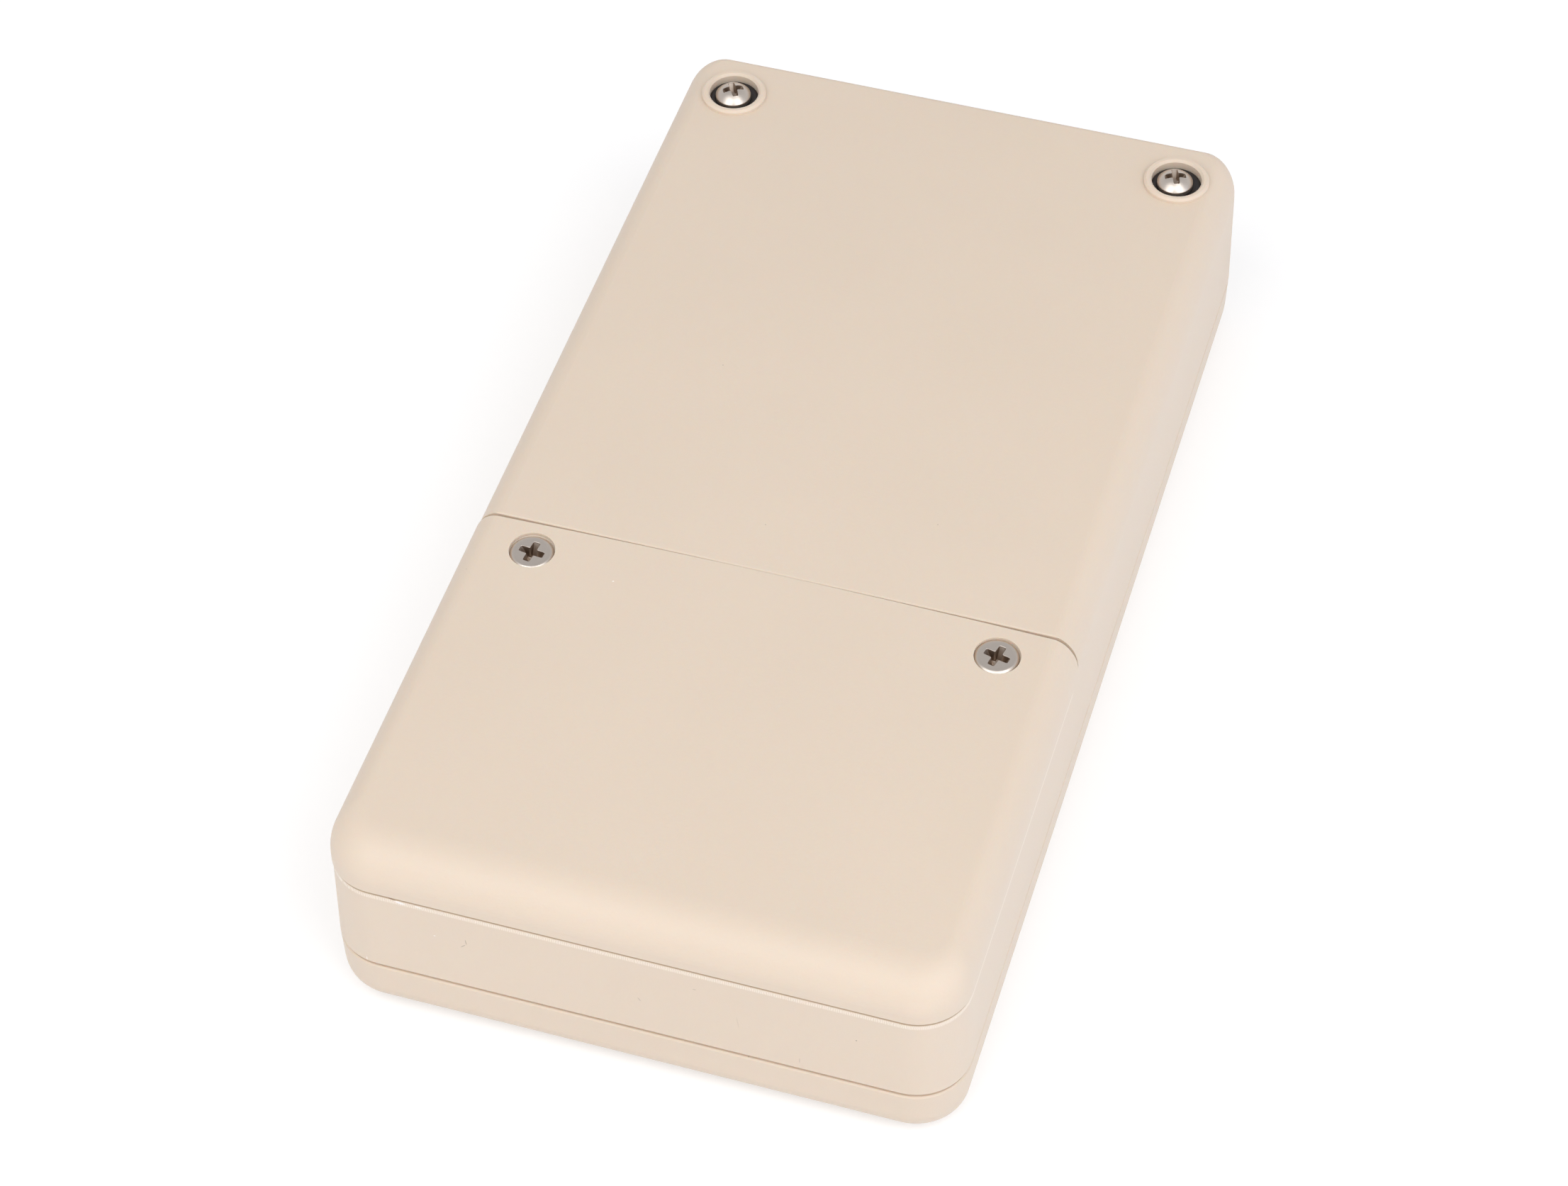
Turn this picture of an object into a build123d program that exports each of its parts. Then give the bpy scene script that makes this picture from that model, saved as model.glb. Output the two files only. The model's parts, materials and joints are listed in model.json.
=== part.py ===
"""Handheld instrument enclosure: two moulded shells, a screwed battery door and their fittings.

Millimetres, +Z up. The case lies on its front face, as it does on a bench when the cells are
changed, so the rear face looks up. The origin is the centre of the front face. +Y runs to the
far end, where the rear face has two screw wells, and the battery door is at the -Y end.
"""

import os
from math import asin, cos, degrees, radians, sin, tan
from typing import NamedTuple

from build123d import *

# Case, measured at the seam between its two shells
WIDTH = 80.0
LENGTH = 151.0
HEIGHT = 30.0
SEAM_HEIGHT = 10.0
WALL = 2.2
DRAFT = 1.5
NEAR_CORNER = 7.0
FAR_CORNER = 5.5
EDGE_SECTIONS = 19
SMALLEST_RUN = 0.4

# Seam between the shells: a shadow gap outside, a tongue and a sealing cord inside
SHADOW_GAP = 0.72
RIM_BEVEL = 0.2
SKIRT_WALL = 1.1
TONGUE_WALL = 1.0
TONGUE_HEIGHT = 1.2
TONGUE_CLEARANCE = 0.1
GASKET_HEIGHT = 0.8
GASKET_CLEARANCE = 0.05

# Battery door: a cap over the near end of the rear half
DOOR_LENGTH = 57.3
DOOR_DROP = 6.3
DOOR_CORNER = 2.0
DOOR_PROUD = 0.14
DOOR_ROOF = 2.2
DOOR_SKIRT = 1.8
DOOR_BOW = 0.33
DOOR_GAP_ENDS = 0.4
DOOR_GAP_MIDDLE = 0.15
DOOR_GAP_BELOW = 0.28
SEAM_BEVEL = 0.15

# Deck under the door, and the lip on it that locates the door
DECK = 1.8
LIP_GAP = 0.4
LIP_WALL = 1.0
LIP_HEIGHT = 1.0
LIP_END_MARGIN = 11.0
BULKHEAD = 1.8
BULKHEAD_SETBACK = 0.6

# Battery bay for AA cells laid across the case
CELL_DIAMETER = 14.5
CELL_LENGTH = 50.5
CELL_PITCH = 14.9
CELL_COUNT = 3
CELL_TOP_GAP = 0.6
CELL_SEAT_GAP = 0.3
BAY_END_ROOM = 1.95
BAY_FLOOR = 1.4
BAY_WALL = 1.4
BAY_NEAR_MARGIN = 3.5
BAY_CORNER = 1.5
CRADLE_HEIGHT = 3.0
CRADLE_X = 16.0
CRADLE_GAP = 0.15
HOLD_DOWN_X = 12.0
HOLD_DOWN_DEPTH = 1.8
HOLD_DOWN_GAP = 0.3
RIB = 1.2

# Case screws, their wells in the rear half and the bosses they pull on
CASE_SCREW_RADIUS = 1.25
CASE_SCREW_FAR_LENGTH = 22.0
CASE_SCREW_NEAR_LENGTH = 16.0
PAN_RADIUS = 2.47
PAN_SIDE = 0.7
PAN_DOME = 1.25
FAR_SCREW_SIDE_INSET = 8.2
FAR_SCREW_INSET = 9.1
NEAR_SCREW_SIDE_INSET = 7.2
NEAR_SCREW_INSET = 9.1
WELL_RADIUS = 3.45
WELL_DEPTH = 1.6
WELL_LIP = 0.75
WELL_BEVEL = 0.3
WELL_SHIFT = {"far_left": 0.13, "far_right": 0.2, "near_left": 0.0, "near_right": 0.0}
COLUMN_RADIUS = 4.5
SCREW_HOLE_CLEARANCE = 0.35
WASHER_THICKNESS = 1.0
WASHER_CLEARANCE = 0.05
WASHER_BORE_CLEARANCE = 0.25
BOSS_RADIUS = 4.0
BOSS_GAP = 0.1
INSERT_CLEARANCE = 0.02
THREAD_CLEARANCE = 0.03
HOLE_RUNOUT = 0.6
CASE_INSERT_CORNER_RADIUS = 2.25
CASE_INSERT_LENGTH = 4.5

# Door screws and the bosses they pull on
DOOR_SCREW_RADIUS = 1.5
DOOR_SCREW_LENGTH = 9.0
DOOR_SCREW_SIDE_INSET = 9.7
DOOR_SCREW_INSET = 5.0
FLAT_HEAD_RADIUS = 2.78
FLAT_HEAD_RIM = 0.15
FLAT_HEAD_BEVEL = 0.22
FLAT_HEAD_SINK = 0.12
COUNTERSINK_MARGIN = 0.17
DOOR_HOLE_CLEARANCE = 0.2
DOOR_HOLE_SHIFT = {"left": (0.0, 0.15), "right": (0.08, -0.05)}
DOOR_BOSS_RADIUS = 3.6
DOOR_BOSS_GAP = 0.1
INNER_BOSS_HEIGHT = 1.8
DOOR_BOSS_END = 1.2
DOOR_INSERT_CORNER_RADIUS = 2.5
DOOR_INSERT_LENGTH = 4.8

# Cross recess in the screw heads: span and width of its arms, and its depth
PAN_RECESS = (2.7, 0.8, 1.35)
FLAT_RECESS = (3.2, 0.95, 1.6)
RECESS_TURN = {"far_left": 31.0, "far_right": 20.0, "near_left": 10.0, "near_right": 55.0}
DOOR_RECESS_TURN = {"left": -7.0, "right": -13.0}

# Posts in the front shell for a circuit board
BOARD_POST_SIDE_INSET = 13.0
BOARD_POST_SPAN = 58.0
BOARD_POST_FAR_INSET = 20.0
BOARD_POST_RADIUS = 2.6
BOARD_POST_HEIGHT = 3.2
BOARD_POST_PILOT = 0.9

# Battery contacts, stamped from nickel-plated spring strip
STRIP = 0.4
CONTACT_WIDTH = 9.0
CONTACT_LIFT = 2.0
CONTACT_TOP_GAP = 0.3
BUTTON_RADIUS = 2.3
BUTTON_HEIGHT = 0.6
BUTTON_TIP_RADIUS = 1.8
FINGER_WIDTH = 5.0
FINGER_SPAN = 7.0
FINGER_REACH = 2.2
TAG_WIDTH = 1.6
TAG_PASS = 1.6
TAG_CLEARANCE = 0.1

# Places that follow from the sizes above
NEAR_END = -LENGTH / 2
FAR_END = LENGTH / 2
DECK_TOP = HEIGHT - DOOR_DROP
RIM_HEIGHT = SEAM_HEIGHT - SHADOW_GAP
DOOR_SCREW_X = WIDTH / 2 - DOOR_SCREW_SIDE_INSET
BOARD_POST_X = WIDTH / 2 - BOARD_POST_SIDE_INSET
DOOR_FAR_Y = NEAR_END + DOOR_LENGTH
DOOR_SCREW_Y = DOOR_FAR_Y - DOOR_SCREW_INSET
DOOR_INNER = HEIGHT - DOOR_ROOF
DOOR_HOLE_RADIUS = DOOR_SCREW_RADIUS + DOOR_HOLE_CLEARANCE
INNER_BOSS_TOP = DECK_TOP + INNER_BOSS_HEIGHT
INNER_BOSS_FOOT = INNER_BOSS_TOP - DOOR_INSERT_LENGTH - HOLE_RUNOUT - DOOR_BOSS_END
SINK_TOP = HEIGHT - FLAT_HEAD_SINK - FLAT_HEAD_BEVEL - FLAT_HEAD_RIM
SHELL_BOW = DOOR_BOW - DOOR_GAP_ENDS + DOOR_GAP_MIDDLE
LIP_INSET = DOOR_SKIRT + LIP_GAP + (DECK_TOP + LIP_HEIGHT - SEAM_HEIGHT) * tan(radians(DRAFT))
TONGUE_TOP = SEAM_HEIGHT + TONGUE_HEIGHT
RABBET_TOP = TONGUE_TOP + GASKET_HEIGHT + 2 * GASKET_CLEARANCE
CASE_INSERT_TOP = SEAM_HEIGHT - BOSS_GAP
BOARD_POST_FAR_Y = FAR_END - BOARD_POST_FAR_INSET
CELL_AXIS = DOOR_INNER - CELL_TOP_GAP - CELL_DIAMETER / 2
BAY_LENGTH = CELL_LENGTH + 2 * BAY_END_ROOM
BAY_WIDTH = CELL_COUNT * CELL_PITCH
BAY_NEAR = NEAR_END + BAY_NEAR_MARGIN
BAY_Y = BAY_NEAR + BAY_WIDTH / 2
BAY_BOTTOM = CELL_AXIS - CELL_DIAMETER / 2 - CELL_SEAT_GAP
CELL_Y = [BAY_NEAR + CELL_PITCH * (cell + 0.5) for cell in range(CELL_COUNT)]
SIDES = {"left": -1, "right": 1}
SCREW_PLACES = {
    f"{end}_{side}": (sign * (WIDTH / 2 - side_inset), y, top, length)
    for end, side_inset, y, top, length in (
        ("far", FAR_SCREW_SIDE_INSET, FAR_END - FAR_SCREW_INSET, HEIGHT, CASE_SCREW_FAR_LENGTH),
        ("near", NEAR_SCREW_SIDE_INSET, NEAR_END + NEAR_SCREW_INSET, DECK_TOP, CASE_SCREW_NEAR_LENGTH),
    )
    for side, sign in SIDES.items()
}
CONTACTS = {
    "left_bridge_contact": (-1, {0: "button", 1: "finger"}),
    "positive_contact": (-1, {2: "button"}),
    "negative_contact": (1, {0: "finger"}),
    "right_bridge_contact": (1, {1: "button", 2: "finger"}),
}
UPRIGHT = (Align.CENTER, Align.CENTER, Align.MIN)


class RolledEdge(NamedTuple):
    """How a drafted wall rolls over into a face: the edge's height, and its run on each side."""

    drop: float
    side: float
    near: float
    far: float

    def inside(self, wall):
        """Gives the edge on the inner side of a wall."""
        return RolledEdge(*(max(size - wall, SMALLEST_RUN) for size in self))


REAR_EDGE = RolledEdge(drop=4.8, side=3.4, near=5.9, far=2.0)
FRONT_EDGE = RolledEdge(drop=4.9, side=2.6, near=6.0, far=2.8)
LEDGE_EDGE = RolledEdge(drop=0.45, side=0.45, near=0.45, far=0.45)
NO_EDGE = RolledEdge(drop=0.0, side=0.0, near=0.0, far=0.0)


def flat_outline(side, near, far):
    """Draws the case's rounded outline, drawn in from its size at the seam."""
    with BuildSketch(mode=Mode.PRIVATE) as outline:
        with Locations((0, (near - far) / 2)):
            Rectangle(WIDTH - 2 * side, LENGTH - near - far)
        for end, corner in ((0, NEAR_CORNER), (-1, FAR_CORNER)):
            fillet(outline.vertices().group_by(Axis.Y)[end], max(corner - side, SMALLEST_RUN))
    return outline.sketch


def case_section(height, inset, edge=NO_EDGE, turn=0.0):
    """Places the outline at a height, drawn in by an inset, the draft and a rolled edge."""
    lean = inset + abs(height - SEAM_HEIGHT) * tan(radians(DRAFT))
    roll = 1 - cos(radians(turn))
    with BuildSketch(Plane.XY.offset(height), mode=Mode.PRIVATE) as section:
        add(flat_outline(lean + edge.side * roll, lean + edge.near * roll, lean + edge.far * roll))
    return section.sketch


def rolled_body(open_height, face_height, inset, edge):
    """Makes a drafted block from its open side to its face, where the wall rolls over."""
    rise = edge.drop if face_height > open_height else -edge.drop
    turns = [90 * section / (EDGE_SECTIONS - 1) for section in range(EDGE_SECTIONS)]
    with BuildPart() as body:
        loft([case_section(open_height, inset), case_section(face_height - rise, inset)], ruled=True)
        loft(
            [
                case_section(face_height - rise * (1 - sin(radians(turn))), inset, edge, turn)
                for turn in turns
            ]
        )
    return body.part


def bevelled_hollow(open_height, face_height, inset, edge):
    """Makes the hollow inside a rolled body, with a flat bevel behind the rolled edge."""
    rise = edge.drop if face_height > open_height else -edge.drop
    bevel_start = case_section(face_height - rise, inset)
    with BuildPart() as hollow:
        loft([case_section(open_height, inset), bevel_start], ruled=True)
        loft([bevel_start, case_section(face_height, inset, edge, 90)], ruled=True)
    return hollow.part


def ring(low, high, inset, wall):
    """Makes an upright band that follows the case's outline."""
    with BuildPart() as band:
        with BuildSketch(Plane.XY.offset(low)):
            add(flat_outline(inset, inset, inset))
            add(flat_outline(inset + wall, inset + wall, inset + wall), mode=Mode.SUBTRACT)
        extrude(amount=high - low)
    return band.part


def door_outline(far_y, bow):
    """Draws the door's place seen from above, whose far edge bows towards the far end."""
    spread = bow * (WIDTH / DOOR_SCREW_X) ** 2
    with BuildSketch(mode=Mode.PRIVATE) as outline:
        with BuildLine():
            far_edge = ThreePointArc(
                (-WIDTH, far_y + bow - spread), (0, far_y + bow), (WIDTH, far_y + bow - spread)
            )
            Polyline(far_edge @ 1, (WIDTH, -LENGTH), (-WIDTH, -LENGTH), far_edge @ 0)
        make_face()
    return outline.sketch


def door_space(bottom, far_y, bow):
    """Makes the space of the door, down to its rounded lower corner."""
    with BuildPart() as space:
        with BuildSketch(Plane.XY.offset(bottom)):
            add(door_outline(far_y, bow))
        extrude(amount=HEIGHT)
        lower_face = space.faces().sort_by(Axis.Z)[0]
        fillet(lower_face.edges().sort_by(Axis.Y)[-1], DOOR_CORNER)
    return space.part


def seam_bevel(far_y, bow):
    """Makes the cut that bevels the shell's top edge along the door's seam."""
    with BuildPart() as cut:
        with BuildSketch(Plane.XY.offset(HEIGHT - SEAM_BEVEL)):
            add(door_outline(far_y, bow))
        extrude(amount=SEAM_BEVEL, taper=-45)
    return cut.part


def ledge_strip():
    """Makes the strip to cut off, which rounds the outer edge of the ledge under the door."""
    with BuildPart() as strip:
        block(
            (-WIDTH, WIDTH),
            (-LENGTH, DOOR_FAR_Y - DOOR_CORNER),
            (DECK_TOP - LEDGE_EDGE.drop, DECK_TOP),
        )
        add(rolled_body(SEAM_HEIGHT, DECK_TOP, 0, LEDGE_EDGE), mode=Mode.SUBTRACT)
    return strip.part


def cylinder(x, y, low, high, radius, mode=Mode.ADD):
    """Adds or cuts an upright cylinder between two heights."""
    with Locations((x, y, low)):
        Cylinder(radius, high - low, align=UPRIGHT, mode=mode)


def block(x_range, y_range, z_range, mode=Mode.ADD):
    """Adds or cuts a box between two corners."""
    sizes = [abs(high - low) for low, high in (x_range, y_range, z_range)]
    with Locations([(sum(x_range) / 2, sum(y_range) / 2, sum(z_range) / 2)]):
        Box(*sizes, mode=mode)


def upright_plane(x, y, z):
    """Gives the plane that faces the near end, with its own up along Z."""
    return Plane(origin=(x, y, z), x_dir=(1, 0, 0), z_dir=(0, -1, 0))


def cell_rib(x, low, high, gap):
    """Adds a rib across the cells, hollowed to follow their round sides."""
    with BuildSketch(Plane.YZ.offset(x - RIB / 2), mode=Mode.PRIVATE) as rib:
        with Locations((BAY_Y, (low + high) / 2)):
            Rectangle(BAY_WIDTH, high - low)
        with Locations([(y, CELL_AXIS) for y in CELL_Y]):
            Circle(CELL_DIAMETER / 2 + gap, mode=Mode.SUBTRACT)
    extrude(rib.sketch, amount=RIB)


def cross_recess(x, y, top, turn, size):
    """Cuts a cross into the top of a screw's head."""
    span, width, depth = size
    with BuildSketch(Plane(origin=(x, y, top - depth)), mode=Mode.PRIVATE) as cross:
        for arm in (turn, 90 + turn):
            Rectangle(span, width, rotation=arm)
    extrude(cross.sketch, amount=depth, mode=Mode.SUBTRACT)


def pan_screw(x, y, seat, length, turn):
    """Makes a case screw: a domed head with a cross recess, standing on its seat."""
    with BuildPart() as screw:
        with BuildSketch(upright_plane(x, y, seat)):
            with BuildLine():
                dome_radius = (PAN_RADIUS**2 + PAN_DOME**2) / (2 * PAN_DOME)
                dome_reach = degrees(asin(PAN_RADIUS / dome_radius))
                dome_centre = (0, PAN_SIDE + PAN_DOME - dome_radius)
                dome = CenterArc(dome_centre, dome_radius, 90 - dome_reach, dome_reach)
                Polyline(
                    dome @ 0,
                    (PAN_RADIUS, 0),
                    (CASE_SCREW_RADIUS, 0),
                    (CASE_SCREW_RADIUS, -length),
                    (0, -length),
                    dome @ 1,
                )
            make_face()
        revolve(axis=Axis((x, y, seat), (0, 0, 1)))
        cross_recess(x, y, seat + PAN_SIDE + PAN_DOME, turn, PAN_RECESS)
    return screw


def flat_screw(x, y, top, length, turn):
    """Makes a door screw: a countersunk head with a bevelled rim and a cross recess."""
    cone_top = -FLAT_HEAD_BEVEL - FLAT_HEAD_RIM
    cone_foot = cone_top - (FLAT_HEAD_RADIUS - DOOR_SCREW_RADIUS)
    with BuildPart() as screw:
        with BuildSketch(upright_plane(x, y, top)):
            with BuildLine():
                Polyline(
                    (0, 0),
                    (FLAT_HEAD_RADIUS - FLAT_HEAD_BEVEL, 0),
                    (FLAT_HEAD_RADIUS, -FLAT_HEAD_BEVEL),
                    (FLAT_HEAD_RADIUS, cone_top),
                    (DOOR_SCREW_RADIUS, cone_foot),
                    (DOOR_SCREW_RADIUS, -length),
                    (0, -length),
                    (0, 0),
                )
            make_face()
        revolve(axis=Axis((x, y, top), (0, 0, 1)))
        cross_recess(x, y, top, turn, FLAT_RECESS)
    return screw


def hexagon(x, y, low, high, corner_radius, mode=Mode.ADD):
    """Adds or cuts an upright hexagonal prism, sized by the circle through its corners."""
    with BuildSketch(Plane(origin=(x, y, low)), mode=Mode.PRIVATE) as section:
        RegularPolygon(corner_radius, 6)
    extrude(section.sketch, amount=high - low, mode=mode)


def threaded_insert(x, y, top, corner_radius, length, screw_radius):
    """Makes a hexagonal brass insert, which can't turn in the plastic."""
    with BuildPart() as insert:
        hexagon(x, y, top - length, top, corner_radius)
        cylinder(x, y, top - length, top, screw_radius + THREAD_CLEARANCE, Mode.SUBTRACT)
    return insert


def contact_spans(cells):
    """Gives the near and far edges of the strip that serves a run of cells."""
    return CELL_Y[min(cells)] - CONTACT_WIDTH / 2, CELL_Y[max(cells)] + CONTACT_WIDTH / 2


def contact_tag(sign, cells, clearance, mode=Mode.ADD):
    """Adds the tag bent out through the bay's end wall, or cuts its slot."""
    far_edge = contact_spans(cells)[1]
    wall_face = sign * BAY_LENGTH / 2
    block(
        (wall_face, wall_face + sign * (BAY_WALL + TAG_PASS)),
        (far_edge - STRIP - clearance, far_edge + clearance),
        (CELL_AXIS - TAG_WIDTH / 2 - clearance, CELL_AXIS + TAG_WIDTH / 2 + clearance),
        mode,
    )


def battery_contact(sign, cells):
    """Makes a stamped contact: a strip with a button for each + end and a finger for each - end."""
    wall_face = sign * BAY_LENGTH / 2
    strip_face = wall_face - sign * STRIP
    with BuildPart() as contact:
        block(
            (strip_face, wall_face),
            contact_spans(cells),
            (BAY_BOTTOM + CONTACT_LIFT, DECK_TOP - CONTACT_TOP_GAP),
        )
        contact_tag(sign, cells, 0)
        for cell, form in cells.items():
            if form == "button":
                towards_cell = Plane(
                    origin=(strip_face, CELL_Y[cell], CELL_AXIS), x_dir=(0, 1, 0), z_dir=(-sign, 0, 0)
                )
                with Locations(towards_cell):
                    Cone(BUTTON_RADIUS, BUTTON_TIP_RADIUS, BUTTON_HEIGHT, align=UPRIGHT)
            else:
                with BuildSketch(upright_plane(strip_face, CELL_Y[cell], CELL_AXIS)):
                    with BuildLine():
                        half = FINGER_SPAN / 2
                        outer = ThreePointArc((0, -half), (-sign * FINGER_REACH, 0), (0, half))
                        inner_half = half - STRIP
                        inner = ThreePointArc(
                            (0, -inner_half), (-sign * (FINGER_REACH - STRIP), 0), (0, inner_half)
                        )
                        Line(outer @ 0, inner @ 0)
                        Line(outer @ 1, inner @ 1)
                    make_face()
                extrude(amount=FINGER_WIDTH / 2, both=True)
    return contact


def save(piece, name):
    """Names a finished piece and writes it as its own file."""
    piece.part.label = name
    export_step(piece.part, f"parts/{name}.step")


os.makedirs("parts", exist_ok=True)

# Front shell: the tray that the case lies on, with bosses for the case screws
with BuildPart() as front_shell:
    rim_start = RIM_HEIGHT - RIM_BEVEL
    add(rolled_body(rim_start, 0, 0, FRONT_EDGE))
    loft([case_section(rim_start, 0), case_section(RIM_HEIGHT, RIM_BEVEL)], ruled=True)
    add(bevelled_hollow(SEAM_HEIGHT, WALL, WALL, FRONT_EDGE.inside(WALL)), mode=Mode.SUBTRACT)
    add(ring(RIM_HEIGHT - TONGUE_HEIGHT, TONGUE_TOP, SKIRT_WALL + TONGUE_CLEARANCE, TONGUE_WALL))
    for x, y, top, length in SCREW_PLACES.values():
        cylinder(x, y, WALL / 2, CASE_INSERT_TOP, BOSS_RADIUS)
        screw_tip = top - WELL_DEPTH + WASHER_THICKNESS - length
        hole_foot = min(CASE_INSERT_TOP - CASE_INSERT_LENGTH, screw_tip) - HOLE_RUNOUT
        insert_hole = CASE_INSERT_CORNER_RADIUS + INSERT_CLEARANCE
        hexagon(x, y, hole_foot, SEAM_HEIGHT, insert_hole, Mode.SUBTRACT)
    for x in (-BOARD_POST_X, BOARD_POST_X):
        for y in (BOARD_POST_FAR_Y, BOARD_POST_FAR_Y - BOARD_POST_SPAN):
            cylinder(x, y, WALL / 2, WALL + BOARD_POST_HEIGHT, BOARD_POST_RADIUS)
            cylinder(x, y, WALL, WALL + BOARD_POST_HEIGHT, BOARD_POST_PILOT, Mode.SUBTRACT)
save(front_shell, "front_shell")

# Deck under the door and the bulkhead beside it, which close the electronics off
with BuildPart() as divider:
    add(bevelled_hollow(SEAM_HEIGHT, HEIGHT - WALL / 2, WALL / 2, REAR_EDGE.inside(WALL / 2)))
    with BuildSketch(Plane.YZ):
        with BuildLine():
            bulkhead_near = DOOR_FAR_Y + BULKHEAD_SETBACK
            Polyline(
                (-LENGTH, DECK_TOP),
                (bulkhead_near, DECK_TOP),
                (bulkhead_near, HEIGHT),
                (bulkhead_near + BULKHEAD, HEIGHT),
                (bulkhead_near + BULKHEAD, DECK_TOP - DECK),
                (-LENGTH, DECK_TOP - DECK),
                (-LENGTH, DECK_TOP),
            )
        make_face()
    extrude(amount=WIDTH / 2, both=True, mode=Mode.INTERSECT)

# Lip on the deck, inside the door's skirt, open beside the door's screws
with BuildPart() as door_lip:
    add(ring(DECK_TOP - DECK / 2, DECK_TOP + LIP_HEIGHT, LIP_INSET, LIP_WALL))
    lip_far_y = DOOR_FAR_Y - LIP_END_MARGIN
    block((-WIDTH, WIDTH), (lip_far_y, LENGTH), (0, 2 * HEIGHT), Mode.SUBTRACT)

# Rear shell: walls, roof, deck, battery bay and the columns that the case screws pull down
with BuildPart() as rear_shell:
    add(rolled_body(SEAM_HEIGHT, HEIGHT, 0, REAR_EDGE))
    add(
        bevelled_hollow(SEAM_HEIGHT, HEIGHT - WALL, WALL, REAR_EDGE.inside(WALL)),
        mode=Mode.SUBTRACT,
    )
    add(door_space(DECK_TOP, DOOR_FAR_Y, SHELL_BOW), mode=Mode.SUBTRACT)
    add(seam_bevel(DOOR_FAR_Y, SHELL_BOW), mode=Mode.SUBTRACT)
    add(ledge_strip(), mode=Mode.SUBTRACT)
    add(divider.part)
    add(door_lip.part)
    with BuildSketch(Plane.XY.offset(BAY_BOTTOM - BAY_FLOOR)):
        with Locations((0, BAY_Y)):
            RectangleRounded(
                BAY_LENGTH + 2 * BAY_WALL, BAY_WIDTH + 2 * BAY_WALL, BAY_CORNER + BAY_WALL
            )
    extrude(amount=DECK_TOP - BAY_BOTTOM + BAY_FLOOR)
    with BuildSketch(Plane.XY.offset(BAY_BOTTOM)):
        with Locations((0, BAY_Y)):
            RectangleRounded(BAY_LENGTH, BAY_WIDTH, BAY_CORNER)
    extrude(amount=DECK_TOP - BAY_BOTTOM, mode=Mode.SUBTRACT)
    for x in (-CRADLE_X, CRADLE_X):
        cell_rib(x, BAY_BOTTOM - BAY_FLOOR / 2, BAY_BOTTOM + CRADLE_HEIGHT, CRADLE_GAP)
    for sign, cells in CONTACTS.values():
        contact_tag(sign, cells, TAG_CLEARANCE, Mode.SUBTRACT)
    for place, (x, y, top, _) in SCREW_PLACES.items():
        lip = WELL_LIP if place.startswith("far") else 0
        well_x = x + WELL_SHIFT[place]
        cylinder(well_x, y, SEAM_HEIGHT, top + lip, COLUMN_RADIUS)
        cylinder(well_x, y, top - WELL_DEPTH, top + WELL_DEPTH, WELL_RADIUS, Mode.SUBTRACT)
        screw_hole = CASE_SCREW_RADIUS + SCREW_HOLE_CLEARANCE
        cylinder(well_x, y, SEAM_HEIGHT, top, screw_hole, Mode.SUBTRACT)
    raised_lips = rear_shell.edges().group_by(Axis.Z)[-1]
    chamfer(raised_lips, WELL_BEVEL)
    for x in (-DOOR_SCREW_X, DOOR_SCREW_X):
        cylinder(x, DOOR_SCREW_Y, INNER_BOSS_FOOT, INNER_BOSS_TOP, DOOR_BOSS_RADIUS)
        hole_foot = INNER_BOSS_FOOT + DOOR_BOSS_END
        insert_hole = DOOR_INSERT_CORNER_RADIUS + INSERT_CLEARANCE
        hexagon(x, DOOR_SCREW_Y, hole_foot, INNER_BOSS_TOP, insert_hole, Mode.SUBTRACT)
    add(
        ring(SEAM_HEIGHT, RABBET_TOP, SKIRT_WALL, WALL - SKIRT_WALL + TONGUE_CLEARANCE),
        mode=Mode.SUBTRACT,
    )
save(rear_shell, "rear_shell")

# Battery door: a cap with hold-down ribs over the cells and two countersunk bosses
with BuildPart() as battery_door:
    add(rolled_body(SEAM_HEIGHT, HEIGHT, -DOOR_PROUD, REAR_EDGE))
    add(
        door_space(DECK_TOP + DOOR_GAP_BELOW, DOOR_FAR_Y - DOOR_GAP_ENDS, DOOR_BOW),
        mode=Mode.INTERSECT,
    )
    add(
        bevelled_hollow(SEAM_HEIGHT, DOOR_INNER, DOOR_SKIRT, REAR_EDGE.inside(DOOR_SKIRT)),
        mode=Mode.SUBTRACT,
    )
    for x in (-HOLD_DOWN_X, HOLD_DOWN_X):
        cell_rib(x, DOOR_INNER - HOLD_DOWN_DEPTH, DOOR_INNER + DOOR_ROOF / 2, HOLD_DOWN_GAP)
    for side, sign in SIDES.items():
        shift_x, shift_y = DOOR_HOLE_SHIFT[side]
        x = sign * DOOR_SCREW_X + shift_x
        y = DOOR_SCREW_Y + shift_y
        boss_foot = INNER_BOSS_TOP + DOOR_BOSS_GAP
        cylinder(x, y, boss_foot, DOOR_INNER + DOOR_ROOF / 2, DOOR_BOSS_RADIUS)
        cylinder(x, y, boss_foot, HEIGHT, DOOR_HOLE_RADIUS, Mode.SUBTRACT)
        sink_radius = FLAT_HEAD_RADIUS + COUNTERSINK_MARGIN
        cylinder(x, y, SINK_TOP, HEIGHT, sink_radius, Mode.SUBTRACT)
        sink_depth = sink_radius - DOOR_HOLE_RADIUS
        with Locations((x, y, SINK_TOP - sink_depth)):
            Cone(DOOR_HOLE_RADIUS, sink_radius, sink_depth, align=UPRIGHT, mode=Mode.SUBTRACT)
save(battery_door, "battery_door")

# Sealing cord on the tongue between the shells
with BuildPart() as case_gasket:
    gasket_foot = TONGUE_TOP + GASKET_CLEARANCE
    add(ring(gasket_foot, gasket_foot + GASKET_HEIGHT, SKIRT_WALL + TONGUE_CLEARANCE, TONGUE_WALL))
save(case_gasket, "case_gasket")

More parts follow.
